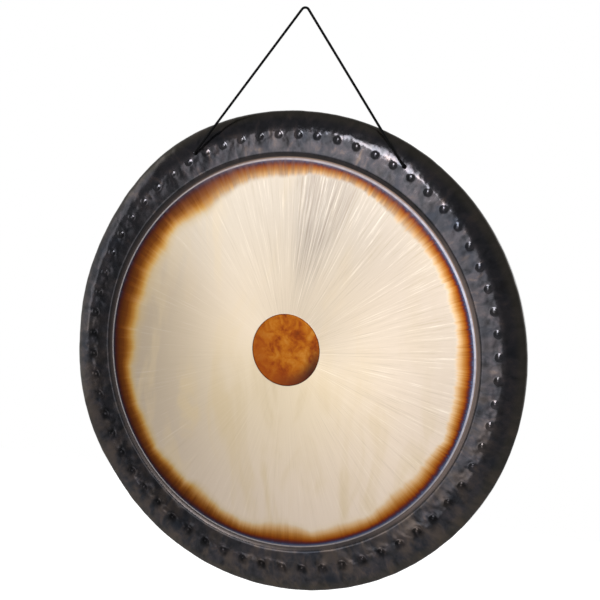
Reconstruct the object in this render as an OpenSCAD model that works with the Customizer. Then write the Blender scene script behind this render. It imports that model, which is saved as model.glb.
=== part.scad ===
// Tam tam gong on its suspension cord.
// Millimetres, +Z up. The origin is the hook seat: the point on the inside of the cord's
// crown where the hook touches it. The gong's face looks along -Y and the cord hangs in
// the plane y = 0, just in front of the gong's border.

/* [Gong] */
// Outer diameter of the gong, at the widest place of its shoulder
gong_d = 816; // [700:2:900]
// Thickness of the hammered sheet
sheet_t = 1.5; // [1:0.1:2.5]
// Depth from the border's front plane to the rim's back edge
gong_depth = 42; // [36:1:60]
// Diameter of the lathed face, inside the dark border
face_d = 660; // [560:2:680]
// How far the face lies behind the border's front plane
face_setback = 2.5; // [2:0.5:8]
// How much metal the lathe took off the face
lathe_cut = 0.3; // [0.1:0.1:0.6]
// Inner diameter of the border's flat ring
flat_inner_d = 676; // [670:2:730]
// Outer diameter of the border's flat ring, where the shoulder starts
flat_outer_d = 740; // [734:2:770]

/* [Boss] */
// Diameter of the raw centre disc
boss_d = 122; // [80:2:160]
// How far the centre disc sits above the gong's centre
boss_rise = 6; // [0:1:12]

/* [Cord] */
// Diameter of the cord
cord_d = 4.2; // [4:0.1:6]
// Height of the hook seat above the gong's centre
seat_height = 570; // [540:5:620]
// Distance of the cord holes from the gong's centre
hole_ring_r = 374; // [372:0.5:375]
// Angle of each cord hole from the gong's vertical line
hole_angle = 29.8; // [25:0.1:34]
// Diameter of each cord hole
hole_d = 5.2; // [5:0.1:7]
// Gap between the hanging cord and the border
cord_gap = 1.1; // [0.8:0.1:2]
// Length of each stopper knot
knot_l = 14; // [13:0.5:18]
// Length of the free end below each knot
tail_l = 26; // [15:1:40]

/* [Hidden] */
$fn = 96;

gong_r = gong_d / 2;
cord_r = cord_d / 2;
cord_sides = 10;
ring_step = 3 * cord_d;               // spacing of the cord's rings
border_y = cord_r + cord_gap;         // the border's front plane
face_y = border_y + face_setback;

// The shoulder is three arcs that follow the border's flat ring, then a straight flange.
shoulder_r1 = 30;                     // radius of the first arc, outside the bumps
shoulder_turn1 = 12;                  // the surface has turned this far at its end
shoulder_r2 = 110;                    // radius of the second, gentle arc
shoulder_turn2 = 27;
flange_lean = 12;                     // inward lean of the flange
shoulder_r3 = (gong_r - flat_outer_d / 2 - shoulder_r1 * sin(shoulder_turn1)
               - shoulder_r2 * (sin(shoulder_turn2) - sin(shoulder_turn1)))
              / (1 - sin(shoulder_turn2));
arc_steps = 8;

// Centre of each arc as [radius, depth behind the border's front plane].
function heading(turn) = [sin(turn), -cos(turn)];
arc1 = [flat_outer_d / 2, shoulder_r1];
arc2 = arc1 + (shoulder_r1 - shoulder_r2) * heading(shoulder_turn1);
arc3 = arc2 + (shoulder_r2 - shoulder_r3) * heading(shoulder_turn2);
// Points on an arc after its start, up to its end.
function arc(centre, r, from, to) = [
    for (i = [1 : arc_steps]) centre + r * heading(from + (to - from) * i / arc_steps)];

// The sheet's section on one of its surfaces, inset from the front surface.
function shoulder(inset) = concat(
    [arc1 + (shoulder_r1 - inset) * heading(0)],
    arc(arc1, shoulder_r1 - inset, 0, shoulder_turn1),
    arc(arc2, shoulder_r2 - inset, shoulder_turn1, shoulder_turn2),
    arc(arc3, shoulder_r3 - inset, shoulder_turn2, 90 + flange_lean));
function rim_point(last) = [last[0] - (gong_depth - last[1]) * tan(flange_lean), gong_depth];
function closed_at_rim(pts) = concat(pts, [rim_point(pts[len(pts) - 1])]);
function reversed(pts) = [for (i = [len(pts) - 1 : -1 : 0]) pts[i]];

front_section = concat(
    [[0, face_setback + lathe_cut], [face_d / 2, face_setback + lathe_cut],
     [face_d / 2, face_setback], [flat_inner_d / 2, 0]],
    closed_at_rim(shoulder(0)));
back_section = concat(
    [[0, face_setback + sheet_t], [face_d / 2, face_setback + sheet_t],
     [flat_inner_d / 2, sheet_t]],
    closed_at_rim(shoulder(sheet_t)));

// Places along the cord: hole, crown and the two hinge lines across it.
hole_x = hole_ring_r * sin(hole_angle);
hole_z = hole_ring_r * cos(hole_angle) - seat_height;
// The crown's own points run over the hook, from one hinge line to the other.
crown_route = [[-5, 0, 0.2], [-3.4, 0, 1.4], [-1.7, 0, 2], [0, 0, 2.1],
               [1.7, 0, 2], [3.4, 0, 1.4], [5, 0, 0.2]];
leg_top = [6, 0, -1];                 // the crown's hinge line crosses the cord here
hinge_gap = 1;                        // clearance along the cord at a hinge line
leg_end = [hole_x, 0, hole_z];        // the hole's hinge line crosses the cord here
leg_dir = (leg_end - leg_top) / norm(leg_end - leg_top);
leg_start = leg_top + hinge_gap * leg_dir;
knot_coil_r = cord_d + 0.1;           // from the knot's core strand to the strand around it
knot_d = 2 * (knot_coil_r + cord_r);
knot_face_r = knot_d / 3;             // radius of the knot's bearing face
knot_clearance = 0.05;                // from the bearing face to the sheet
// The sheet curves back past its flat ring, so the knot bears on the second arc, at the
// side of its bearing face that is farthest from the gong's centre.
knot_y = border_y + arc2[1] + knot_clearance
    - sqrt(pow(shoulder_r2 - sheet_t, 2) - pow(hole_ring_r + knot_face_r - arc2[0], 2));
tail_y = knot_y + cord_r + 1;         // the free end hangs just clear of the sheet
// The free end starts where its inner edge meets the knot's round side.
tail_top = hole_z - sqrt(pow(knot_d / 2, 2) - pow(knot_coil_r - cord_r, 2));

// Points every ring_step or less along the straight line from a to b.
function along(a, b) = let (n = ceil(norm(b - a) / ring_step))
    [for (i = [0 : n]) a + (b - a) * i / n];
function unit(v) = v / norm(v);
function mirrored(p) = [-p[0], p[1], p[2]];

// A tube of round section swept along points; side is a direction that stays across it.
module cord_tube(pts, side) {
    last = len(pts) - 1;
    function tangent(i) = unit(pts[min(i + 1, last)] - pts[max(i - 1, 0)]);
    function ring(i) = let (t = tangent(i), n = unit(cross(t, side)), b = cross(t, n))
        [for (k = [0 : cord_sides - 1])
            let (a = 360 * k / cord_sides) pts[i] + cord_r * (cos(a) * n + sin(a) * b)];
    verts = [for (i = [0 : last]) each ring(i)];
    walls = [for (i = [0 : last - 1]) for (k = [0 : cord_sides - 1])
        let (a = i * cord_sides + k, b = i * cord_sides + (k + 1) % cord_sides)
        [a, a + cord_sides, b + cord_sides, b]];
    caps = [[for (k = [0 : cord_sides - 1]) k],
            [for (k = [cord_sides - 1 : -1 : 0]) last * cord_sides + k]];
    polyhedron(points = verts, faces = concat(walls, caps), convexity = 4);
}

// Turns a shape drawn about +Z, with z as depth, to lie about the gong's centre line.
module about_gong_axis() {
    translate([0, border_y, -seat_height]) rotate([-90, 0, 0]) children();
}

// One sheet of hammered bronze: face, centre disc, border, shoulder and flange, with
// the two drilled cord holes.
module gong_plate() {
    color("#d8cfb4")
    difference() {
        union() {
            about_gong_axis()
                rotate_extrude($fn = 180)
                    polygon(concat(front_section, reversed(back_section)));
            translate([0, face_y, boss_rise - seat_height])
                rotate([-90, 0, 0]) cylinder(h = sheet_t / 2, d = boss_d);
        }
        for (side = [-1, 1])
            translate([side * hole_x, border_y - 1, hole_z])
                rotate([-90, 0, 0]) cylinder(h = sheet_t + 3, d = hole_d);
    }
}

// The part of the cord that lies over the hook.
module cord_crown() {
    color("#181818") cord_tube(crown_route, [0, 1, 0]);
}

// The straight part of the cord from the hook down to one hole.
module cord_leg_right() {
    color("#181818") cord_tube(along(leg_start, leg_end), [0, 1, 0]);
}

module cord_leg_left() {
    color("#181818")
        cord_tube(along(mirrored(leg_start), mirrored(leg_end)), [0, 1, 0]);
}

// A stopper knot behind one hole, with its neck of cord through the hole.
module stop_knot(side) {
    neck_y = cord_r + 0.3;
    neck_l = knot_y - neck_y;
    color("#202020")
    translate([side * hole_x, neck_y, hole_z])
        rotate([-90, 0, 0])
            rotate_extrude()
                polygon([[0, 0], [cord_r, 0], [cord_r, neck_l], [knot_face_r, neck_l],
                         [knot_d / 2, neck_l + knot_l * 0.25],
                         [knot_d / 2, neck_l + knot_l * 0.75],
                         [knot_face_r, neck_l + knot_l], [0, neck_l + knot_l]]);
}

module left_stop_knot() {
    stop_knot(-1);
}

module right_stop_knot() {
    stop_knot(1);
}

// The free end of the cord. It leaves the outer side of one knot and hangs straight down.
module tail(side) {
    top = [side * (hole_x + knot_coil_r), tail_y, tail_top];
    color("#181818") cord_tube(along(top, top - [0, 0, tail_l]), [0, 1, 0]);
}

module cord_tail_left() {
    tail(-1);
}

module cord_tail_right() {
    tail(1);
}

gong_plate();
cord_crown();
cord_leg_left();
cord_leg_right();
left_stop_knot();
right_stop_knot();
cord_tail_left();
cord_tail_right();
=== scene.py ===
"""Tam tam gong on its suspension cord: hammered plate, black cord and two stopper knots.

Metres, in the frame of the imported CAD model. +Z is up, the gong's face looks along -Y,
and the origin is the hook seat, on the inside of the cord's crown.
"""

import math

import bpy
import numpy as np
from mathutils import Matrix, Vector, noise


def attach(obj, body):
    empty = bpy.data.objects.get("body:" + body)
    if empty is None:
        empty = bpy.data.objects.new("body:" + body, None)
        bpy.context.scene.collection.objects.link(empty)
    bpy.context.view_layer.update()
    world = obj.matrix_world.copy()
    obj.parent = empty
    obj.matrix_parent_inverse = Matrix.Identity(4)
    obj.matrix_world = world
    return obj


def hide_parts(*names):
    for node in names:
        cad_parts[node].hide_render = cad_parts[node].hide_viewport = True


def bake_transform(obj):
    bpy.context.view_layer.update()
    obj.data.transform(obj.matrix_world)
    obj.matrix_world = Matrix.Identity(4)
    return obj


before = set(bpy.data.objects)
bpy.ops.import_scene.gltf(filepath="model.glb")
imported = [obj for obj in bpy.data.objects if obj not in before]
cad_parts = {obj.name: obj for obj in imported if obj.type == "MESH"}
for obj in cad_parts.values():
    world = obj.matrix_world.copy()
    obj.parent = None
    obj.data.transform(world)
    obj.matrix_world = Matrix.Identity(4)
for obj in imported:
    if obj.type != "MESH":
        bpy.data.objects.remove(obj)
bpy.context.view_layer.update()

MM = 0.001

# Driving sizes, the same as the CAD model's
GONG_R = 408 * MM
SHEET_T = 1.5 * MM
GONG_DEPTH = 42 * MM
FACE_R = 330 * MM
FACE_SETBACK = 2.5 * MM
LATHE_CUT = 0.3 * MM
FLAT_INNER_R = 338 * MM
FLAT_OUTER_R = 370 * MM
BOSS_R = 61 * MM
BOSS_RISE = 6 * MM
CORD_R = 2.1 * MM
CORD_GAP = 1.1 * MM
SEAT_HEIGHT = 570 * MM
HOLE_RING_R = 374 * MM
HOLE_ANGLE = math.radians(29.8)
HOLE_R = 2.6 * MM
KNOT_L = 14 * MM
TAIL_L = 26 * MM
# Radius of each gentle arc of the shoulder, and how far the surface has turned at its end
SHOULDER_ARCS = [(30 * MM, math.radians(12)), (110 * MM, math.radians(27))]
FLANGE_LEAN = math.radians(12)

# Places worked out from them
BORDER_Y = CORD_R + CORD_GAP
SHEET_BACK_Y = BORDER_Y + SHEET_T
HOLE_X = HOLE_RING_R * math.sin(HOLE_ANGLE)
HOLE_Z = HOLE_RING_R * math.cos(HOLE_ANGLE) - SEAT_HEIGHT
KNOT_COIL_R = 2 * CORD_R + 0.1 * MM     # from the knot's core strand to the strand around it
KNOT_SET_BACK = 1.2 * MM    # the sheet curves back this far where a knot bears on it
KNOT_Y = SHEET_BACK_Y + KNOT_SET_BACK
TAIL_Y = KNOT_Y + CORD_R + 1 * MM       # the free end hangs just clear of the sheet


# ---------------------------------------------------------------- camera

AZIMUTH = math.radians(21.09)
ELEVATION = math.radians(6.15)
ROLL = math.radians(3.6)
DISTANCE = 2.339
LENS = 83.5
SENSOR = 36
AIM_RIGHT = 24.2 * MM       # the view's centre, to the right of the gong's centre
AIM_UP = 89.9 * MM          # above it
AIM_Y = 7.2 * MM            # and behind the cord's plane


def make_camera():
    """A camera that sees the gong from its right, a little above its centre."""
    back = Vector((math.sin(AZIMUTH) * math.cos(ELEVATION),
                   -math.cos(AZIMUTH) * math.cos(ELEVATION),
                   math.sin(ELEVATION)))
    level = Vector((math.cos(AZIMUTH), math.sin(AZIMUTH), 0))
    upright = back.cross(level)
    right = level * math.cos(ROLL) + upright * math.sin(ROLL)
    up = upright * math.cos(ROLL) - level * math.sin(ROLL)
    aim = Vector((0, AIM_Y, -SEAT_HEIGHT)) + AIM_RIGHT * right + AIM_UP * up
    data = bpy.data.cameras.new("camera")
    data.lens = LENS
    data.sensor_width = SENSOR
    data.clip_start = 0.05
    camera = bpy.data.objects.new("camera", data)
    bpy.context.collection.objects.link(camera)
    camera.matrix_world = (Matrix.Translation(aim + DISTANCE * back)
                           @ Matrix((right, up, back)).transposed().to_4x4())
    bpy.context.scene.camera = camera


# ---------------------------------------------------------------- node helpers

class Nodes:
    """Short ways to add nodes to one node tree. A value may be a number or a socket."""

    def __init__(self, tree):
        self.tree = tree
        tree.nodes.clear()

    def add(self, kind, inputs=None, **settings):
        made = self.tree.nodes.new(kind)
        for name, value in settings.items():
            setattr(made, name, value)
        for key, value in (inputs or {}).items():
            self.put(made.inputs[key], value)
        return made

    def put(self, socket, value):
        if isinstance(value, bpy.types.NodeSocket):
            self.tree.links.new(value, socket)
        else:
            socket.default_value = value

    def math(self, operation, *values, clamp=False):
        made = self.add("ShaderNodeMath", operation=operation, use_clamp=clamp)
        for socket, value in zip(made.inputs, values):
            self.put(socket, value)
        return made.outputs[0]

    def vector_math(self, operation, *values, out=0):
        made = self.add("ShaderNodeVectorMath", operation=operation)
        for socket, value in zip(made.inputs, values):
            self.put(socket, value)
        return made.outputs[out]

    def combine(self, x, y, z):
        return self.add("ShaderNodeCombineXYZ", {0: x, 1: y, 2: z}).outputs[0]

    def smooth(self, value, low, high, to_low=0.0, to_high=1.0):
        """Goes smoothly from to_low to to_high while value goes from low to high."""
        return self.add("ShaderNodeMapRange",
                        {0: value, 1: low, 2: high, 3: to_low, 4: to_high},
                        interpolation_type="SMOOTHSTEP").outputs[0]

    def noise(self, place, scale=1.0, detail=3.0, roughness=0.5, distortion=0.0):
        made = self.add("ShaderNodeTexNoise",
                        {"Vector": place, "Scale": scale, "Detail": detail,
                         "Roughness": roughness, "Distortion": distortion})
        return made.outputs[0]

    def mix(self, factor, a, b, blend="MIX"):
        made = self.add("ShaderNodeMix", data_type="RGBA", blend_type=blend)
        self.put(made.inputs[0], factor)
        self.put(made.inputs[6], a)
        self.put(made.inputs[7], b)
        return made.outputs[2]

    def ramp(self, factor, stops, interpolation="LINEAR"):
        """stops is a list of (position, sRGB hex colour)."""
        made = self.add("ShaderNodeValToRGB", {0: factor})
        made.color_ramp.interpolation = interpolation
        elements = made.color_ramp.elements
        while len(elements) < len(stops):
            elements.new(0.5)
        for element, (position, colour) in zip(elements, stops):
            element.position = position
            element.color = rgb(colour)
        return made.outputs[0]

    def bump(self, height, distance, strength=1.0, normal=None):
        inputs = {"Height": height, "Distance": distance, "Strength": strength}
        if normal is not None:
            inputs["Normal"] = normal
        return self.add("ShaderNodeBump", inputs).outputs[0]

    def surface(self, **inputs):
        """A Principled BSDF on the material's output. Names use _ for spaces."""
        shader = self.add("ShaderNodeBsdfPrincipled",
                          {name.replace("_", " "): value for name, value in inputs.items()})
        self.add("ShaderNodeOutputMaterial", {"Surface": shader.outputs[0]})
        return shader


def rgb(colour):
    """Linear RGBA of an sRGB hex colour such as c8a070."""
    parts = [int(colour[i:i + 2], 16) / 255 for i in (0, 2, 4)]
    return [p / 12.92 if p < 0.04045 else ((p + 0.055) / 1.055) ** 2.4 for p in parts] + [1.0]


def new_material(name):
    material = bpy.data.materials.new(name)
    material.use_nodes = True
    return material, Nodes(material.node_tree)


class GongPlace:
    """Sockets with a point's place on the gong: its distance from the centre and direction."""

    def __init__(self, nodes, centre_z):
        self.nodes = nodes
        self.point = nodes.add("ShaderNodeTexCoord").outputs["Object"]
        split = nodes.add("ShaderNodeSeparateXYZ", {0: self.point})
        self.x = split.outputs[0]
        self.z = nodes.math("SUBTRACT", split.outputs[2], centre_z)
        self.radius = nodes.math("SQRT", nodes.math(
            "ADD", nodes.math("MULTIPLY", self.x, self.x), nodes.math("MULTIPLY", self.z, self.z)))
        safe = nodes.math("MAXIMUM", self.radius, 0.1 * MM)
        self.cos = nodes.math("DIVIDE", self.x, safe)
        self.sin = nodes.math("DIVIDE", self.z, safe)

    def polar(self, around, along, shift=0.0):
        """A noise place that varies around times per radian and along times per metre."""
        n = self.nodes
        return n.combine(n.math("MULTIPLY", self.cos, around),
                         n.math("ADD", n.math("MULTIPLY", self.radius, along), shift),
                         n.math("MULTIPLY", self.sin, around))

    def toward(self, angle):
        """1 in the direction of angle (degrees, counter-clockwise from +X), -1 opposite."""
        n = self.nodes
        a = math.radians(angle)
        return n.math("ADD", n.math("MULTIPLY", self.cos, math.cos(a)),
                      n.math("MULTIPLY", self.sin, math.sin(a)))


# ---------------------------------------------------------------- cord

CORD_SIDES = 14
CORD_STEP = 2.5 * MM        # greatest spacing of a cord's rings
LEG_SEAM = 0.5              # a leg's two pieces meet this far down it, as a share of its length
END_BULGE = 0.6             # how far a free end's round tip stands out, in cord radii
BEND_R = 3.2 * MM           # radius of the cord's middle where it turns into a hole
KNOT_TURNS = 2
CORE_END = 0.72             # the core strand turns back this far along the knot

# The crown's route over the hook, and the top of the leg, as in the CAD model (mm)
CROWN_ROUTE = [(-5, 0, 0.2), (-3.4, 0, 1.4), (-1.7, 0, 2), (0, 0, 2.1),
               (1.7, 0, 2), (3.4, 0, 1.4), (5, 0, 0.2)]
LEG_TOP = Vector((6, 0, -1)) * MM
CROWN_TOP = CROWN_ROUTE[3]


def smooth_route(points):
    """Points every CORD_STEP or less on a Catmull-Rom curve through the given points."""
    pts = [np.array(p, float) for p in points]
    pts = [2 * pts[0] - pts[1]] + pts + [2 * pts[-1] - pts[-2]]
    route = []
    for a, b, c, d in zip(pts, pts[1:], pts[2:], pts[3:]):
        steps = max(1, math.ceil(np.linalg.norm(c - b) / CORD_STEP))
        for i in range(steps):
            t = i / steps
            route.append(0.5 * (2 * b + (c - a) * t + (2 * a - 5 * b + 4 * c - d) * t * t
                                + (3 * b - a - 3 * c + d) * t ** 3))
    route.append(pts[-2])
    return route


def tube(name, route, round_end=False):
    """A closed round tube along a route. Its UV map is metres around and metres along it."""
    tangents = [route[min(i + 1, len(route) - 1)] - route[max(i - 1, 0)]
                for i in range(len(route))]
    tangents = [t / np.linalg.norm(t) for t in tangents]
    side = np.cross(tangents[0], [0.3, 1.0, 0.1])
    rings = []
    for point, tangent in zip(route, tangents):
        side = side - tangent * (side @ tangent)
        side = side / np.linalg.norm(side)
        rings.append((point, tangent, side, CORD_R))
    if round_end:
        point, tangent, side, _ = rings[-1]
        for angle in (30, 60, 80):
            a = math.radians(angle)
            rings.append((point + tangent * CORD_R * END_BULGE * math.sin(a), tangent, side,
                          CORD_R * math.cos(a)))
    verts = []
    for point, tangent, side, radius in rings:
        across = np.cross(tangent, side)
        for k in range(CORD_SIDES):
            a = 2 * math.pi * k / CORD_SIDES
            verts.append(point + radius * (math.cos(a) * side + math.sin(a) * across))
    faces = []
    uvs = []
    along = 0.0
    for i in range(len(rings) - 1):
        length = float(np.linalg.norm(rings[i + 1][0] - rings[i][0]))
        for k in range(CORD_SIDES):
            a = i * CORD_SIDES + k
            b = i * CORD_SIDES + (k + 1) % CORD_SIDES
            faces.append((a, b, b + CORD_SIDES, a + CORD_SIDES))
            u0 = 2 * math.pi * CORD_R * k / CORD_SIDES
            u1 = 2 * math.pi * CORD_R * (k + 1) / CORD_SIDES
            uvs += [(u0, along), (u1, along), (u1, along + length), (u0, along + length)]
        along += length
    last = (len(rings) - 1) * CORD_SIDES
    faces.append(tuple(reversed(range(CORD_SIDES))))
    faces.append(tuple(range(last, last + CORD_SIDES)))
    uvs += [(0.0, 0.0)] * (2 * CORD_SIDES)
    mesh = bpy.data.meshes.new(name)
    mesh.from_pydata([tuple(v) for v in verts], [], faces)
    layer = mesh.uv_layers.new(name="along")
    layer.data.foreach_set("uv", np.array(uvs, np.float32).ravel())
    mesh.shade_smooth()
    made = bpy.data.objects.new(name, mesh)
    bpy.context.collection.objects.link(made)
    return made


def mirrored(points, side):
    """The points on the right (side 1), or their mirror image on the left (side -1)."""
    return [np.array((side * p[0], p[1], p[2])) for p in points]


def knot_route(side):
    """Core strand through the knot, two turns back around it, then the free end down."""
    core_y = KNOT_Y + CORE_END * KNOT_L
    far_y = KNOT_Y + KNOT_L - CORD_R
    points = [(0, SHEET_BACK_Y + 0.3 * MM, 0),
              (0, KNOT_Y + 0.35 * KNOT_L, 0),
              (0, core_y, 0)]
    rising = 6
    for i in range(1, rising):
        t = i / rising
        a = 2 * math.pi * KNOT_TURNS + math.pi * (1 - t)
        r = KNOT_COIL_R * math.sin(t * math.pi / 2)
        points.append((r * math.cos(a), core_y + (far_y - core_y) * t, r * math.sin(a)))
    steps = 12 * KNOT_TURNS
    for i in range(steps + 1):
        t = i / steps
        a = 2 * math.pi * KNOT_TURNS * (1 - t)
        points.append((KNOT_COIL_R * math.cos(a), far_y + (TAIL_Y - far_y) * t,
                       KNOT_COIL_R * math.sin(a)))
    down = KNOT_COIL_R + TAIL_L - END_BULGE * CORD_R
    steps = 8
    for i in range(1, steps + 1):
        points.append((KNOT_COIL_R, TAIL_Y, -down * i / steps))
    return [np.array((side * (HOLE_X + x), y, HOLE_Z + z)) for x, y, z in points]


def make_cord(material):
    """Three cord pieces and two knots. The legs hang straight from the hook to the holes."""
    leg_end = Vector((HOLE_X, 0, HOLE_Z))
    leg = leg_end - LEG_TOP
    leg_dir = leg.normalized()
    seam = LEG_TOP + LEG_SEAM * leg
    # The top piece's right half: over the hook, then down the leg to the seam
    half = [tuple(Vector(p) * MM) for p in CROWN_ROUTE[4:]]
    half += [tuple(LEG_TOP + leg * LEG_SEAM * t) for t in (0, 0.02, 0.05, 0.25, 0.5, 0.75, 1)]
    top_points = (mirrored(reversed(half), -1) + [np.array(CROWN_TOP) * MM]
                  + mirrored(half, 1))
    top_route = smooth_route(top_points)
    top = tube("cord_top", top_route)
    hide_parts("cord_crown", "cord_leg_left", "cord_leg_right")
    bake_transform(top)
    pieces = [top]

    # A lower piece: down the rest of the leg, round the hole's edge and into the hole
    lower = [seam + (leg_end - seam) * t for t in (0, 0.25, 0.5, 0.75, 0.9)]
    bend = []
    for angle in (0, 22.5, 45, 67.5, 90):
        a = math.radians(angle)
        bend.append(leg_end - leg_dir * BEND_R * (1 - math.sin(a))
                    + Vector((0, BEND_R * (1 - math.cos(a)), 0)))
    inside = [Vector((HOLE_X, SHEET_BACK_Y + 0.6 * MM, HOLE_Z))]
    lower_points = [tuple(p) for p in lower + bend + inside]
    for side, name in ((-1, "left"), (1, "right")):
        knot = tube(f"{name}_knot", smooth_route(knot_route(side)), round_end=True)
        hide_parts(f"{name}_stop_knot", f"cord_tail_{name}")
        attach(knot, "gong")
        route = smooth_route(mirrored(lower_points, side))
        end = tube(f"cord_{name}_end", route)
        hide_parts(f"cord_leg_{name}")
        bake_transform(end)
        pieces += [knot, end]
    for piece in pieces:
        piece.data.materials.append(material)


def cord_material():
    """Black braided nylon, with dull raised strands."""
    material, n = new_material("cord")
    place = n.add("ShaderNodeTexCoord")
    uv = n.add("ShaderNodeSeparateXYZ", {0: place.outputs["UV"]})
    strands_each_way = 4
    braid_pitch = 9 * MM        # a strand goes once round the cord in this length
    turn = 2 * math.pi * strands_each_way
    around = n.math("MULTIPLY", uv.outputs[0], turn / (2 * math.pi * CORD_R))
    along = n.math("MULTIPLY", uv.outputs[1], turn / braid_pitch)
    one_way = n.math("SINE", n.math("ADD", around, along))
    other_way = n.math("SINE", n.math("SUBTRACT", around, along))
    braid = n.math("MULTIPLY", one_way, other_way)
    fibre = n.noise(place.outputs["Object"], scale=2600, detail=2)
    height = n.math("ADD", braid, n.math("MULTIPLY", fibre, 0.5))
    # The braid's grooves are painted a little darker than its crests: painted shade.
    colour = n.ramp(n.smooth(height, -0.8, 1.2), [(0.0, "010101"), (1.0, "08080a")])
    n.surface(Base_Color=colour, Roughness=n.smooth(height, -1, 1.3, 0.9, 0.65),
              Specular_IOR_Level=0.12,
              Normal=n.bump(height, 0.15 * MM, 0.8))
    return material


# ---------------------------------------------------------------- gong shape

FINE = 1400                 # points around the ring of bumps
MEDIUM = FINE // 2          # around the rest of the border and the shoulder
COARSE = FINE // 4          # around the face
PITCH = 1.72 * MM           # spacing of the rings in the ring of bumps

# Rings of the sheet's front surface, as radii in mm, from the centre to the ring of bumps
BOSS_RINGS = (6, 20, 35, 50, 58, 60)
FACE_RINGS = (61.5, 70, 90, 115, 140, 165, 190, 215, 240, 262, 284, 304, 320, 328.4, 329.4)
LEDGE_RINGS = (331.5, 333, 334.5, 336, 337.5, 340, 344, 348.5, 352.5)
BOSS_EDGE_R = 60.4 * MM     # the disc's top edge, just inside the step down to the face
LEDGE_R = 330.5 * MM        # the ledge's foot, just outside the step at the face's edge
FINE_START_R = 355.2 * MM
FINE_END_R = 383.2 * MM
LIFT_END_R = 200 * MM       # rings inside this radius are shifted towards the raised disc

BUMP_RING_R = 366.3 * MM
BUMP_R = 6.4 * MM
BUMP_H = 1.6 * MM
CAP_POWER = 2.4             # a bump's top is flatter than a ball's
CAP_BLEND = 0.06            # softness of its foot
BUMPS_BETWEEN_HOLES = 11
BUMPS_ELSEWHERE = 52

# Hammer marks on the border, and the face's slight waves: height and width
HAMMER_H = 0.38 * MM
HAMMER_W = 24 * MM
WAVE_H = 0.12 * MM
WAVE_W = 60 * MM

# Places where the hammered outline bulges or is flattened: angle and half width in
# degrees, and how far out it goes in mm
OUTLINE_LUMPS = [(88, 18, -1.2), (124, 12, 2), (157, 18, -5.5), (180, 10, -3.5), (206, 10, 1),
                 (218, 8, -1.5), (306, 30, 1), (338, 20, 1.3)]


def bump_places():
    """Radius, angle, height and size of each hammered bump. The holes fall between bumps."""
    right = math.pi / 2 - HOLE_ANGLE
    places = []
    for start, span, count in ((right, 2 * HOLE_ANGLE, BUMPS_BETWEEN_HOLES),
                               (math.pi - right, 2 * math.pi - 2 * HOLE_ANGLE, BUMPS_ELSEWHERE)):
        for i in range(count):
            k = len(places)
            turn, out, high, wide = (noise.noise(Vector((k * 7.31, j * 3.17, 0.5)))
                                     for j in range(4))
            angle = start + span * (i + 0.5) / count + math.radians(0.25) * turn
            places.append((BUMP_RING_R + 1.2 * MM * out, angle,
                           BUMP_H * (1 + 0.18 * high), BUMP_R * (1 + 0.08 * wide)))
    return places


def on_shoulder(r):
    """Depth and turn at radius r on the shoulder's gentle arcs."""
    at_r, at_d, at_turn = FLAT_OUTER_R, 0, 0
    for radius, turn in SHOULDER_ARCS:
        next_r = at_r + radius * (math.sin(turn) - math.sin(at_turn))
        if r <= next_r + 1e-9:
            here = math.asin(math.sin(at_turn) + (r - at_r) / radius)
            return at_d + radius * (math.cos(at_turn) - math.cos(here)), here
        at_d += radius * (math.cos(at_turn) - math.cos(turn))
        at_r, at_turn = next_r, turn
    return at_d, at_turn


def shoulder_end():
    """Where the gentle arcs end, and the radius of the last arc, which reaches the outline."""
    end_r, at_turn = FLAT_OUTER_R, 0
    for radius, turn in SHOULDER_ARCS:
        end_r += radius * (math.sin(turn) - math.sin(at_turn))
        at_turn = turn
    end_d = on_shoulder(end_r)[0]
    return end_r, end_d, at_turn, (GONG_R - end_r) / (1 - math.sin(at_turn))


def profile():
    """The front surface from centre to rim, as (radius, depth, turn, thickness, points around).

    Depth is behind the border's front plane. Turn is how far the surface has turned from
    facing forward. The sheet's back surface lies its thickness behind the front, square
    to it.
    """
    cut = FACE_SETBACK + LATHE_CUT
    thin = SHEET_T - LATHE_CUT
    softened = 0.1 * MM         # the steps' edges are rounded off by about this much
    rings = [(r * MM, FACE_SETBACK, 0, SHEET_T, COARSE) for r in BOSS_RINGS]
    rings.append((BOSS_EDGE_R, FACE_SETBACK + 0.8 * softened, 0, SHEET_T, COARSE))
    rings.append((BOSS_R, cut, 0, thin, COARSE))
    rings += [(r * MM, cut, 0, thin, COARSE) for r in FACE_RINGS]
    rings.append((FACE_R, FACE_SETBACK + softened, 0, SHEET_T, COARSE))
    rings.append((LEDGE_R, FACE_SETBACK, 0, SHEET_T, COARSE))
    for r in LEDGE_RINGS:
        ledge = float(fade(r * MM, FLAT_INNER_R, LEDGE_R))
        rings.append((r * MM, FACE_SETBACK * ledge, 0, SHEET_T, MEDIUM))
    r = FINE_START_R
    while r < FINE_END_R:
        depth, turn = on_shoulder(max(r, FLAT_OUTER_R))
        rings.append((r, depth, turn, SHEET_T, FINE))
        r += PITCH
    end_r, end_d, end_turn, last_radius = shoulder_end()
    for steps_left in (5, 4, 3, 2, 1):
        r = rings[-1][0] + (end_r - rings[-1][0]) / steps_left
        depth, turn = on_shoulder(r)
        rings.append((r, depth, turn, SHEET_T, MEDIUM))
    full_turn = math.pi / 2 + FLANGE_LEAN
    steps = 8
    for i in range(1, steps + 1):
        turn = end_turn + (full_turn - end_turn) * i / steps
        rings.append((end_r + last_radius * (math.sin(turn) - math.sin(end_turn)),
                      end_d + last_radius * (math.cos(end_turn) - math.cos(turn)),
                      turn, SHEET_T, MEDIUM))
    last_r, last_d = rings[-1][:2]
    rim_d = GONG_DEPTH - 0.4 * MM       # the rim's edge takes up the rest
    for t in (0.5, 1):
        depth = last_d + (rim_d - last_d) * t
        rings.append((last_r - (depth - last_d) * math.tan(FLANGE_LEAN), depth,
                      full_turn, SHEET_T, MEDIUM))
    return rings


def fade(value, low, high):
    """0 below low, 1 above high and smooth between them. low may be the greater."""
    t = np.clip((value - low) / (high - low), 0, 1)
    return t * t * (3 - 2 * t)


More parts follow.
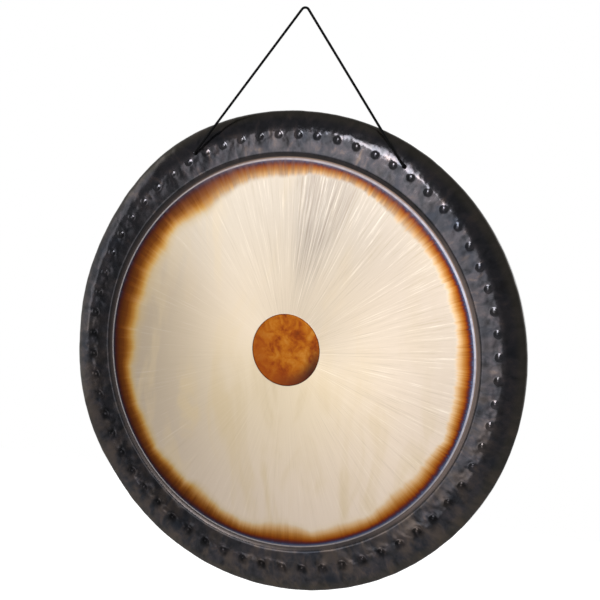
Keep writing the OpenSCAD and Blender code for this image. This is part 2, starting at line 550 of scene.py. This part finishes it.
def around_hole(x, z):
    """Moves grid points near a cord hole onto circles around it. Rows and columns are rings
    and spokes. Returns the moved points and which of them lie inside the hole."""
    inside = np.zeros(x.shape, bool)
    hole_cells = 2          # the hole replaces this many cells on each side of its centre
    blend_cells = 5         # and the grid is back in its place this many cells away
    for side in (-1, 1):
        hx, hz = side * HOLE_X, HOLE_Z + SEAT_HEIGHT
        near = np.argmin((x - hx) ** 2 + (z - hz) ** 2)
        row, column = np.unravel_index(near, x.shape)
        for i in range(row - blend_cells, row + blend_cells + 1):
            for j in range(column - blend_cells, column + blend_cells + 1):
                cells = max(abs(i - row), abs(j - column))
                if cells < hole_cells:
                    inside[i, j] = True
                    continue
                a = math.atan2(i - row, column - j) + math.atan2(hz, hx) - math.pi / 2
                circle_r = HOLE_R * cells / hole_cells
                t = fade(cells, hole_cells, blend_cells)
                x[i, j] += (hx + circle_r * math.cos(a) - x[i, j]) * (1 - t)
                z[i, j] += (hz + circle_r * math.sin(a) - z[i, j]) * (1 - t)
    return x, z, inside


def rough(x, z, scale, octaves, seed):
    """Smooth noise from about -1 to 1 at every point, in lumps of about scale metres."""
    flat = [noise.fractal(Vector((a / scale, b / scale, seed)), 0.6, 2.0, octaves)
            for a, b in zip(x.ravel(), z.ravel())]
    return np.array(flat).reshape(x.shape)


def relief(x, z, radius, bumps):
    """How far hammering raises the sheet at each point."""
    # The hammer marks are on the border and the waves on the face.
    marks = rough(x, z, HAMMER_W, octaves=3, seed=1.7) * fade(radius, 336 * MM, 348 * MM)
    waves = rough(x, z, WAVE_W, octaves=2, seed=5.1) * fade(radius, 330 * MM, 300 * MM)
    height = HAMMER_H * marks + WAVE_H * waves
    for ring_r, angle, high, size in bumps:
        bx, bz = ring_r * math.cos(angle), ring_r * math.sin(angle)
        away = np.hypot(x - bx, z - bz)
        cap = 1 - np.minimum(away / size, 2) ** CAP_POWER
        height += high * (0.5 * (cap + np.sqrt(cap * cap + CAP_BLEND)) - 0.01)
    return height


def outline_shift(angle, radius):
    """How far the hand-hammered shoulder lies outside a true circle."""
    shift = np.zeros(angle.shape)
    for place, width, out in OUTLINE_LUMPS:
        away = (np.degrees(angle) - place + 180) % 360 - 180
        shift += out * MM * np.exp(-(away / width) ** 2)
    return shift * fade(radius, 372 * MM, 398 * MM)


def gong_surfaces():
    """Groups of neighbouring rings with as many points around. Each is its front points, its
    back points, which points lie inside a cord hole, and its rings' radii."""
    bumps = bump_places()
    groups = []
    rings = profile()
    while rings:
        count = rings[0][4]
        group = [ring for ring in rings if ring[4] == count]
        if count == MEDIUM and len(groups) == 1:
            group = [ring for ring in group if ring[0] < FINE_START_R]
        rings = rings[len(group):]
        radius, depth, turn, thick = (np.array([g[k] for g in group])[:, None] for k in range(4))
        angle = 2 * math.pi * np.arange(count)[None, :] / count
        lift = BOSS_RISE * fade(radius, LIFT_END_R, BOSS_R)
        x = radius * np.cos(angle)
        z = radius * np.sin(angle) + lift
        hole = np.zeros(x.shape, bool)
        if count == FINE:
            x, z, hole = around_hole(x, z)
        true_angle = np.arctan2(z, x)
        true_radius = np.hypot(x, z)
        out = outline_shift(true_angle, np.broadcast_to(radius, x.shape))
        raised = relief(x, z, true_radius, bumps)
        # The relief dies out down the flange, so the rim is plain.
        raised = raised * fade(np.broadcast_to(depth, x.shape), 40 * MM, 20 * MM)
        sides = []
        for sunk in (0, thick):
            shift = raised - sunk
            along = shift * np.sin(turn) + out
            sides.append(np.stack([x + along * np.cos(true_angle),
                                   BORDER_Y + depth - shift * np.cos(turn),
                                   z + along * np.sin(true_angle) - SEAT_HEIGHT], axis=-1))
        groups.append((sides[0], sides[1], hole, radius[:, 0]))
    return groups


def ring_faces(inner, outer):
    """Faces between two rings of vertex numbers. The outer may have twice or half as many."""
    faces = []
    if len(inner) == len(outer):
        n = len(inner)
        for k in range(n):
            faces.append((inner[k], outer[k], outer[(k + 1) % n], inner[(k + 1) % n]))
        return faces
    few, many = (inner, outer) if len(inner) < len(outer) else (outer, inner)
    step = len(many) // len(few)
    for k in range(len(few)):
        next_k = (k + 1) % len(few)
        fan = [many[(k * step + j) % len(many)] for j in range(step + 1)]
        middle = step // 2
        for j in range(step):
            corner = few[k] if j < middle else few[next_k]
            faces.append((corner, fan[j], fan[j + 1]))
        faces.append((few[k], fan[middle], few[next_k]))
    if few is inner:
        return faces
    return [tuple(reversed(f)) for f in faces]


BOSS, FACE, BORDER, BACK = range(4)     # numbers of the gong's finishes


def make_gong(materials):
    """One closed mesh of the hammered sheet. Materials are in the order of the finishes."""
    groups = gong_surfaces()
    verts = []
    faces = []
    finish = []
    in_hole = set()
    numbers = ([], [])          # the front's and the back's rings: vertex numbers and radius
    for side in (0, 1):
        for group in groups:
            points, hole, radii = group[side], group[2], group[3]
            for i in range(points.shape[0]):
                start = len(verts)
                verts += [tuple(p) for p in points[i]]
                numbers[side].append((list(range(start, start + points.shape[1])), radii[i]))
                in_hole.update(start + int(k) for k in np.nonzero(hole[i])[0])
    for side in (0, 1):
        rings = numbers[side]
        centre = len(verts)
        first = [Vector(verts[v]) for v in rings[0][0]]
        verts.append(tuple(sum(first, Vector()) / len(first)))
        inner = rings[0][0]
        made = [(centre, inner[k], inner[(k + 1) % len(inner)]) for k in range(len(inner))]
        marks = [BOSS] * len(made)
        for (a, radius_a), (b, radius_b) in zip(rings, rings[1:]):
            new = ring_faces(a, b)
            middle = (radius_a + radius_b) / 2
            mark = BOSS if middle < BOSS_R else FACE if middle < FACE_R else BORDER
            made += new
            marks += [mark] * len(new)
        if side == 1:
            made = [tuple(reversed(f)) for f in made]
            marks = [BACK] * len(made)
        for face, mark in zip(made, marks):
            if in_hole.isdisjoint(face):
                faces.append(face)
                finish.append(mark)
    front_rim, back_rim = numbers[0][-1][0], numbers[1][-1][0]
    rim_start = len(verts)
    for a, b in zip(front_rim, back_rim):
        middle = (Vector(verts[a]) + Vector(verts[b])) / 2
        verts.append((middle[0], BORDER_Y + GONG_DEPTH, middle[2]))
    rim = list(range(rim_start, len(verts)))
    for new in (ring_faces(front_rim, rim), ring_faces(rim, back_rim)):
        faces += new
        finish += [BORDER] * len(new)
    hole_walls(verts, faces, finish)
    used = sorted({v for f in faces for v in f})
    renumber = {v: i for i, v in enumerate(used)}
    mesh = bpy.data.meshes.new("gong")
    mesh.from_pydata([verts[v] for v in used], [], [[renumber[v] for v in f] for f in faces])
    for material in materials:
        mesh.materials.append(material)
    mesh.polygons.foreach_set("material_index", finish)
    mesh.shade_smooth()
    mesh.update()
    made = bpy.data.objects.new("gong", mesh)
    bpy.context.collection.objects.link(made)
    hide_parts("gong_plate")
    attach(made, "gong")
    return made


def hole_walls(verts, faces, finish):
    """Closes each drilled hole with a wall from the front surface to the back."""
    # A dict keeps the edges in order, so the mesh is the same each time.
    edges = dict.fromkeys((a, b) for face in faces for a, b in zip(face, face[1:] + face[:1]))
    open_edges = {a: b for a, b in edges if (b, a) not in edges}
    loops = []
    while open_edges:
        start, follow = open_edges.popitem()
        loop = [start]
        while follow != start:
            loop.append(follow)
            follow = open_edges.pop(follow)
        loops.append(loop)
    for side in (-1, 1):
        pair = [loop for loop in loops if verts[loop[0]][0] * side > 0]
        front, back = sorted(pair, key=lambda loop: verts[loop[0]][1])
        nearest = [min(back, key=lambda v: (Vector(verts[v]) - Vector(verts[a])).length)
                   for a in front]
        n = len(front)
        for k in range(n):
            faces.append((front[(k + 1) % n], front[k], nearest[k], nearest[(k + 1) % n]))
            finish.append(BORDER)


# ---------------------------------------------------------------- gong finishes

LINE_R = 325.2 * MM         # where the silver-blue line round the face starts
LINE_CENTRE = (-1.2 * MM, -1.8 * MM)    # the ring was tinted this far off the gong's centre


def face_material():
    """Champagne metal, sanded in fine radial lines, with a heat-tinted ring at its edge."""
    material, n = new_material("gong_face")
    place = GongPlace(n, -SEAT_HEIGHT)
    hair = n.noise(place.polar(around=85, along=9), detail=5, roughness=0.7)
    streak = n.noise(place.polar(around=34, along=9), detail=4, roughness=0.6)
    broad = n.noise(place.polar(around=3.2, along=5))
    stroked = n.vector_math("MULTIPLY", place.point, (15.0, 1.0, 5.0))
    cloud = n.noise(stroked, roughness=0.55, distortion=1.2)

    # The metal is warm at the centre. Painted light and shade: it is pale at the right and the top and
    # darker tan at the upper left, and the centre is lighter towards the bottom.
    outer = n.mix(n.smooth(place.toward(325), -1.0, 0.9), rgb("ab9c88"), rgb("dccbb9"))
    outer = n.mix(n.math("MULTIPLY", n.smooth(place.toward(98), 0.4, 1.0), 0.6), outer,
                  rgb("cfc6ba"))
    centre = n.mix(n.smooth(place.toward(255), -0.6, 1.0), rgb("cebfab"), rgb("dccbb0"))
    pale = n.mix(n.smooth(place.radius, 60 * MM, 290 * MM), centre, outer)
    smeared = n.math("MULTIPLY", n.smooth(cloud, 0.44, 0.70),
                     n.smooth(place.toward(262), -0.2, 0.9, 0.25, 0.65))
    pale = n.mix(smeared, pale, rgb("ceba96"))
    # Painted shade: the outer face is greyed and darkened towards the upper right.
    painted_shade_upper_right = n.math("MULTIPLY", n.smooth(place.toward(40), 0.1, 0.9),
                  n.smooth(place.radius, 110 * MM, 290 * MM))
    pale = n.mix(n.math("MULTIPLY", painted_shade_upper_right, 0.5), pale, rgb("a89e94"))
    # Painted reflection: a grey radial wedge near the top, broken by the sanding lines.
    painted_reflection_wedge = n.math("MULTIPLY", n.smooth(place.toward(79), 0.975, 0.999),
                   n.smooth(place.radius, 60 * MM, 210 * MM))
    pale = n.mix(n.math("MULTIPLY", painted_reflection_wedge, n.smooth(hair, 0.35, 0.6, 0.85, 0.2)), pale,
                 rgb("9a9088"))
    # The sanding lines are real marks. They are painted stronger towards the upper right: a painted
    # sheen where they catch the light.
    sanded = n.smooth(place.toward(38), -0.5, 0.8, 0.3, 1.0)
    dark_line = n.math("MULTIPLY", n.smooth(hair, 0.28, 0.50, 0.32, 0.0), sanded)
    lined = n.mix(dark_line, pale, rgb("8d7a60"))
    pale_line = n.math("MULTIPLY", n.smooth(hair, 0.54, 0.72, 0.0, 0.5), sanded)
    lined = n.mix(pale_line, lined, rgb("f4ecdf"))

    # The heat-tinted ring is wider and browner on the left, smooth on the left and at the
    # bottom, and radial streaks feather it elsewhere.
    off_x = n.math("SUBTRACT", place.x, LINE_CENTRE[0])
    off_z = n.math("SUBTRACT", place.z, LINE_CENTRE[1])
    ring_r = n.math("SQRT", n.math("ADD", n.math("MULTIPLY", off_x, off_x),
                                   n.math("MULTIPLY", off_z, off_z)))
    left = n.smooth(place.toward(185), -0.3, 0.9)
    top = n.smooth(place.toward(85), 0.5, 1.0)
    calm = n.math("MAXIMUM", left, n.smooth(place.toward(268), 0.3, 1.0))
    feather = n.math("SUBTRACT", 1.0, n.math("MULTIPLY", calm, 0.8))
    reach = n.math("ADD", n.math("MULTIPLY", left, 6 * MM), 31 * MM)
    widest = n.smooth(place.toward(140), 0.6, 1.0)
    reach = n.math("ADD", reach, n.math("MULTIPLY", widest, 7 * MM))
    narrow = n.smooth(place.toward(88), 0.8, 1.0)
    reach = n.math("SUBTRACT", reach, n.math("MULTIPLY", narrow, 8 * MM))
    reach = n.math("ADD", reach, n.math("MULTIPLY", n.math("SUBTRACT", broad, 0.5), 44 * MM))
    uneven = n.math("MULTIPLY", n.math("SUBTRACT", streak, 0.5), feather)
    reach = n.math("ADD", reach, n.math("MULTIPLY", uneven, 10 * MM))
    inward = n.math("SUBTRACT", LINE_R, ring_r)
    heat = n.math("SUBTRACT", 1.0, n.math("DIVIDE", inward, reach))
    fine_uneven = n.math("MULTIPLY", n.math("SUBTRACT", hair, 0.5), feather)
    heat = n.math("ADD", heat, n.math("MULTIPLY", fine_uneven, 0.4))
    orange = n.ramp(heat, [(0.0, "d8c6ae"), (0.3, "c8a274"), (0.48, "b07c40"), (0.62, "9c5e22"),
                           (0.75, "823c10"), (0.85, "522624"), (0.93, "3c3244"), (1.0, "4c546c")])
    brown = n.ramp(heat, [(0.0, "b8a27e"), (0.16, "b8965c"), (0.3, "a67534"), (0.44, "84501c"),
                          (0.58, "643614"), (0.76, "502a12"), (0.9, "3c1c16"), (1.0, "221e26")])
    browner = n.math("ADD", left, n.math("MULTIPLY", n.math("SUBTRACT", streak, 0.5), 1.2),
                     clamp=True)
    tint = n.mix(browner, orange, brown)
    purple = n.math("MULTIPLY", top, n.smooth(streak, 0.35, 0.65, 0.65, 0.2))
    tint = n.mix(purple, tint, rgb("5c4640"))
    tint_start = n.math("SUBTRACT", n.math("MULTIPLY", calm, -0.25), 0.05)
    colour = n.mix(n.smooth(heat, tint_start, 0.24), lined, tint)

    # Outside it the oxide turns silver-blue in a thin line, then tan. A painted highlight makes the
    # line brightest and widest at the upper right and the tan beyond it lighter there, and both darker
    # on the left.
    painted_highlight_side = n.smooth(place.toward(40), -0.2, 1.0)
    line_hue = n.mix(painted_highlight_side, rgb("8c8684"), rgb("aeacb6"))
    line_hue = n.mix(n.smooth(streak, 0.3, 0.7, 0.4, 0.0), line_hue, rgb("5c5a70"))
    line_hue = n.mix(n.math("MULTIPLY", top, 0.55), line_hue, rgb("7c6a60"))
    colour = n.mix(n.smooth(ring_r, LINE_R + 0.2 * MM, LINE_R + 1.4 * MM), colour, line_hue)
    tan = n.mix(painted_highlight_side, rgb("3c3430"), rgb("7c6a60"))
    line_end = n.math("ADD", n.math("MULTIPLY", painted_highlight_side, 1.2 * MM), LINE_R + 2.4 * MM)
    past_line = n.math("SUBTRACT", ring_r, line_end)
    colour = n.mix(n.smooth(past_line, 0.0, 1.2 * MM), colour, tan)

    sheen_rough = n.math("ADD", n.math("MULTIPLY", hair, 0.10), 0.36)
    tangent = n.vector_math("NORMALIZE", n.combine(n.math("MULTIPLY", place.sin, -1), 0.0,
                                                   place.cos))
    world_tangent = n.add("ShaderNodeVectorTransform", {0: tangent}, vector_type="VECTOR",
                          convert_from="OBJECT", convert_to="WORLD").outputs[0]
    n.surface(Base_Color=colour, Metallic=1.0, Roughness=sheen_rough, Anisotropic=0.3,
              Tangent=world_tangent, Normal=n.bump(hair, 0.04 * MM, 0.6))
    return material


def boss_material():
    """The raw centre disc: orange-brown oxide with mottled patina and a dark edge."""
    material, n = new_material("gong_boss")
    place = GongPlace(n, BOSS_RISE - SEAT_HEIGHT)
    blotch = n.noise(place.point, scale=42, detail=4, roughness=0.6, distortion=0.6)
    speck = n.noise(place.point, scale=150, detail=4, roughness=0.6)
    mottle = n.math("ADD", n.math("MULTIPLY", blotch, 0.75), n.math("MULTIPLY", speck, 0.25))
    colour = n.ramp(mottle, [(0.3, "5c2404"), (0.42, "8c3e06"), (0.54, "a9600e"),
                             (0.68, "b87a2c")])
    dark = n.math("MULTIPLY", n.smooth(place.radius, 34 * MM, 58 * MM),
                  n.smooth(place.toward(-52), 0.3, 1.0))
    colour = n.mix(n.math("MULTIPLY", dark, 0.9), colour, rgb("2c1016"))
    reddish = n.math("MULTIPLY", n.smooth(place.radius, 15 * MM, 55 * MM),
                     n.smooth(place.toward(225), -0.3, 0.9))
    colour = n.mix(n.math("MULTIPLY", reddish, 0.6), colour, rgb("8e3c08"))
    edge = n.smooth(place.radius, 58.8 * MM, 60.6 * MM)
    colour = n.mix(n.math("MULTIPLY", edge, 0.8), colour, rgb("3a1a0c"))
    n.surface(Base_Color=colour, Metallic=0.85,
              Roughness=n.smooth(speck, 0.2, 0.8, 0.38, 0.55),
              Normal=n.bump(speck, 0.1 * MM, 0.5))
    return material


def border_material():
    """Blue-black fire scale, polished by hand, with brown and grey blotches."""
    material, n = new_material("gong_border")
    place = GongPlace(n, -SEAT_HEIGHT)
    blotch = n.noise(place.polar(around=24, along=42), detail=4, roughness=0.6,
                     distortion=0.5)
    patch = n.noise(place.polar(around=9, along=20, shift=3.0), distortion=0.3)
    fine = n.noise(place.point, scale=420, roughness=0.6)
    colour = n.ramp(blotch, [(0.32, "28282b"), (0.46, "37373b"), (0.58, "434044"),
                             (0.74, "5a504c")])
    colour = n.mix(n.smooth(patch, 0.5, 0.75), colour, rgb("2a2d34"))
    # Rubbed ribs cross it, mostly at the bottom.
    rib = n.noise(place.polar(around=15, along=24, shift=7.0), roughness=0.55,
                  distortion=0.3)
    rubbed = n.math("MULTIPLY", n.smooth(rib, 0.42, 0.68),
                    n.smooth(place.toward(265), -0.4, 0.8, 0.1, 0.75))
    colour = n.mix(rubbed, colour, rgb("5e534c"))
    # Painted shade: the outer part is blacker at the top.
    black = n.math("MULTIPLY", n.smooth(place.radius, 372 * MM, 380 * MM),
                   n.smooth(place.toward(60), -0.4, 0.7, 0.0, 0.55))
    colour = n.mix(black, colour, rgb("18181c"))
    # Painted shade: its flat ring is blacker on the left.
    shaded = n.math("MULTIPLY", n.smooth(place.toward(190), 0.1, 0.8),
                    n.smooth(place.radius, 370 * MM, 360 * MM))
    colour = n.mix(n.math("MULTIPLY", shaded, 0.6), colour, rgb("121214"))
    # Painted shade: black round each bump, strongest at the lower left and none at the upper right. The
    # bumps are evenly spaced from the gong's lowest point up to the holes, so the cosine is -1 at each
    # of them.
    turn = n.math("ARCTAN2", n.math("MULTIPLY", place.x, -1), n.math("MULTIPLY", place.z, -1))
    bump_turn = (2 * math.pi - 2 * HOLE_ANGLE) / BUMPS_ELSEWHERE
    phase = n.math("COSINE", n.math("MULTIPLY", turn, 2 * math.pi / bump_turn))
    aside = n.math("ABSOLUTE", n.math("SUBTRACT", place.radius, BUMP_RING_R))
    painted_bump_shade = n.math("MULTIPLY", n.smooth(phase, 0.6, -0.9), n.smooth(aside, 13 * MM, 3 * MM))
    painted_bump_shade = n.math("MULTIPLY", painted_bump_shade, n.smooth(blotch, 0.65, 0.4, 0.5, 1.0))
    painted_bump_shade = n.math("MULTIPLY", painted_bump_shade, n.smooth(place.toward(250), -0.3, 0.5))
    colour = n.mix(n.math("MULTIPLY", painted_bump_shade, 0.9), colour, rgb("0c0c0e"))
    # Painted reflection: the ledge at the face's edge is painted lighter towards the right and stays
    # dark elsewhere.
    inner = n.smooth(place.radius, 338 * MM, 333 * MM)
    ledge = n.mix(n.smooth(place.toward(-5), 0.5, 0.95), rgb("3a3432"), rgb("7a6c66"))
    colour = n.mix(n.math("MULTIPLY", inner, 0.85), colour, ledge)
    outer = n.smooth(place.radius, 388 * MM, 402 * MM)
    colour = n.mix(n.math("MULTIPLY", outer, 0.35), colour, rgb("4c4638"))
    n.surface(Base_Color=colour, Metallic=0.9,
              Roughness=n.math("ADD", n.smooth(fine, 0.2, 0.8, 0.12, 0.2),
                               n.math("MULTIPLY", inner, 0.2)),
              Normal=n.bump(fine, 0.02 * MM, 0.4))
    return material


def back_material():
    """Dark oxide on the hammered back, rubbed lighter and browner in places."""
    material, n = new_material("gong_back")
    place = GongPlace(n, -SEAT_HEIGHT)
    patch = n.noise(place.point, scale=14, detail=5, roughness=0.6, distortion=0.5)
    fine = n.noise(place.point, scale=260, detail=4, roughness=0.6)
    mark = n.noise(place.point, scale=55, detail=2)
    colour = n.ramp(patch, [(0.3, "211e1d"), (0.5, "362b22"), (0.65, "54402c"), (0.8, "77603f")])
    n.surface(Base_Color=colour, Metallic=0.9,
              Roughness=n.smooth(fine, 0.2, 0.8, 0.3, 0.5),
              Normal=n.bump(n.math("ADD", mark, n.math("MULTIPLY", fine, 0.15)), 0.8 * MM, 0.5))
    return material


# ---------------------------------------------------------------- surroundings

FLOOR_Z = -1.75
FLOOR_SIZE = 7
FLOOR_GLOW = 0.8            # makes the floor white to the camera, and to nothing else
ROOM_LEVEL = 0.45           # brightness of the room before the gong
PANEL_LEVEL = 2.8           # how much brighter the pale panel in it is
# Soft edges of the panel and of the white walls, in degrees. Each pair is the angle where
# the panel or wall starts and the angle where it is full. Azimuths count as the camera's do.
PANEL_LEFT = (-26.5, -23)
PANEL_RIGHT = (-2, -20)
PANEL_BOTTOM = (-26, -3)
PANEL_TOP = (8, 4)
LEFT_WALL = (-53, -75)
BACK_WALL = (88, 112)       # on both sides


def make_floor():
    """A plain pale floor, well below the hanging gong."""
    bpy.ops.mesh.primitive_plane_add(size=FLOOR_SIZE, location=(0, 0, FLOOR_Z))
    floor = bpy.context.object
    floor.name = "floor"
    material, n = new_material("floor")
    camera_ray = n.add("ShaderNodeLightPath").outputs["Is Camera Ray"]
    n.surface(Base_Color=(0.7, 0.7, 0.7, 1), Roughness=0.7,
              Emission_Color=(1, 1, 1, 1), Emission_Strength=n.math("MULTIPLY", camera_ray, FLOOR_GLOW))
    floor.data.materials.append(material)


def softbox(name, azimuth, elevation, distance, width, height, power):
    """A rectangular light that faces the gong's centre. Its angles count as the camera's do."""
    a, e = math.radians(azimuth), math.radians(elevation)
    back = Vector((math.sin(a) * math.cos(e), -math.cos(a) * math.cos(e), math.sin(e)))
    data = bpy.data.lights.new(name, "AREA")
    data.shape = "RECTANGLE"
    data.size = width
    data.size_y = height
    data.energy = power
    light = bpy.data.objects.new(name, data)
    bpy.context.collection.objects.link(light)
    light.location = Vector((0, 0, -SEAT_HEIGHT)) + distance * back
    light.rotation_euler = back.to_track_quat("Z", "Y").to_euler()


def make_world():
    """White walls behind the gong and at its left, and a dim room with one pale panel before it.

    The camera itself sees white everywhere.
    """
    world = bpy.data.worlds.new("studio")
    world.use_nodes = True
    bpy.context.scene.world = world
    n = Nodes(world.node_tree)
    way = n.add("ShaderNodeSeparateXYZ", {0: n.add("ShaderNodeTexCoord").outputs["Generated"]})
    x, y, z = way.outputs
    azimuth = n.math("DEGREES", n.math("ARCTAN2", x, n.math("MULTIPLY", y, -1)))
    elevation = n.math("DEGREES", n.math("ARCSINE", z))
    panel = n.math("MULTIPLY", n.smooth(azimuth, *PANEL_LEFT), n.smooth(azimuth, *PANEL_RIGHT))
    for edge in (PANEL_BOTTOM, PANEL_TOP):
        panel = n.math("MULTIPLY", panel, n.smooth(elevation, *edge))
    left_wall = n.smooth(azimuth, *LEFT_WALL)
    behind = n.smooth(n.math("ABSOLUTE", azimuth), *BACK_WALL)
    white = n.math("MAXIMUM", left_wall, behind)
    white = n.math("MULTIPLY", white, n.smooth(elevation, 65, 30, 0.3, 1.0))
    level = n.math("ADD", n.math("MULTIPLY", white, 1 - ROOM_LEVEL), ROOM_LEVEL)
    level = n.math("ADD", level, n.math("MULTIPLY", panel, PANEL_LEVEL))
    camera_ray = n.add("ShaderNodeLightPath").outputs["Is Camera Ray"]
    level = n.math("MAXIMUM", level, camera_ray)
    background = n.add("ShaderNodeBackground", {"Color": (1, 1, 1, 1), "Strength": level})
    n.add("ShaderNodeOutputWorld", {"Surface": background.outputs[0]})


def make_lights():
    softbox("key", azimuth=-8, elevation=24, distance=2.2, width=0.5, height=0.8, power=24)
    softbox("side", azimuth=-70, elevation=12, distance=2.2, width=0.4, height=1.6, power=3)


make_camera()
make_cord(cord_material())
make_gong([boss_material(), face_material(), border_material(), back_material()])
make_floor()
make_world()
make_lights()
bpy.context.scene.view_settings.view_transform = "Standard"
